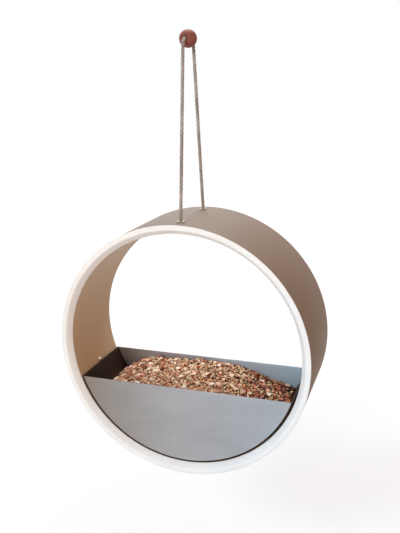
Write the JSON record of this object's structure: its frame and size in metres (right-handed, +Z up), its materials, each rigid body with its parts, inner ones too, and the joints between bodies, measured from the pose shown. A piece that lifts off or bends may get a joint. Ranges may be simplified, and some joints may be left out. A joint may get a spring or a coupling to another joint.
{
  "type": "hanging ring bird feeder",
  "caption": "Wide upright ring that hangs on a cord loop with a wooden bead; a segment-shaped sheet metal seed tray lies in its bottom and slides out along the ring's axis",
  "frame": {"origin": "the middle of the hanging bead, on the axis of its bore, where the feeder is held up", "axes": "+Z up along the hanging cord, +Y along the ring's axis from the front of the feeder to the back, +X to the right seen from the front"},
  "size_m": [0.28, 0.106, 0.469],
  "materials": {
    "bead_wood": "red-brown stained turned wood, satin",
    "jute_cord": "twisted natural jute, slightly hairy",
    "ring_paint": "matt taupe outside, tan inside, white chamfered rims",
    "eyelet_metal": "pale plated eyelet, satin",
    "screw_steel": "bright plated pan head screw",
    "zinc_sheet": "satin zinc-coated sheet",
    "dark_sheet": "dark brown patinated sheet, satin",
    "mixed_seed": "loose mixed seed, tan with pale flakes and red-brown grains"
  },
  "bodies": {
    "bead": {"hanging_bead": "bead_wood"},
    "cord": {"hanging_cord": "jute_cord"},
    "ring": {"ring_shell": "ring_paint", "front_eyelet": "eyelet_metal", "rear_eyelet": "eyelet_metal", "front_cord_knot": "jute_cord", "rear_cord_knot": "jute_cord", "left_stop_screw": "screw_steel", "right_stop_screw": "screw_steel"},
    "tray": {"tray_trough": "dark_sheet", "tray_front_panel": "zinc_sheet", "tray_rear_panel": "zinc_sheet", "seed_fill": "mixed_seed"}
  },
  "joints": [
    {"name": "cord_swing", "type": "hinge", "parent": "bead", "child": "cord", "pos_m": [0, 0, 0], "axis": [0, 1, 0], "range_deg": [-45, 45]},
    {"name": "ring_rock", "type": "hinge", "parent": "cord", "child": "ring", "pos_m": [0, 0, -0.1786], "axis": [0, 1, 0], "range_deg": [-25, 25]},
    {"name": "tray_slide", "type": "slide", "parent": "ring", "child": "tray", "axis": [0, -1, 0], "range_m": [-0.042, 0.042]}
  ]
}
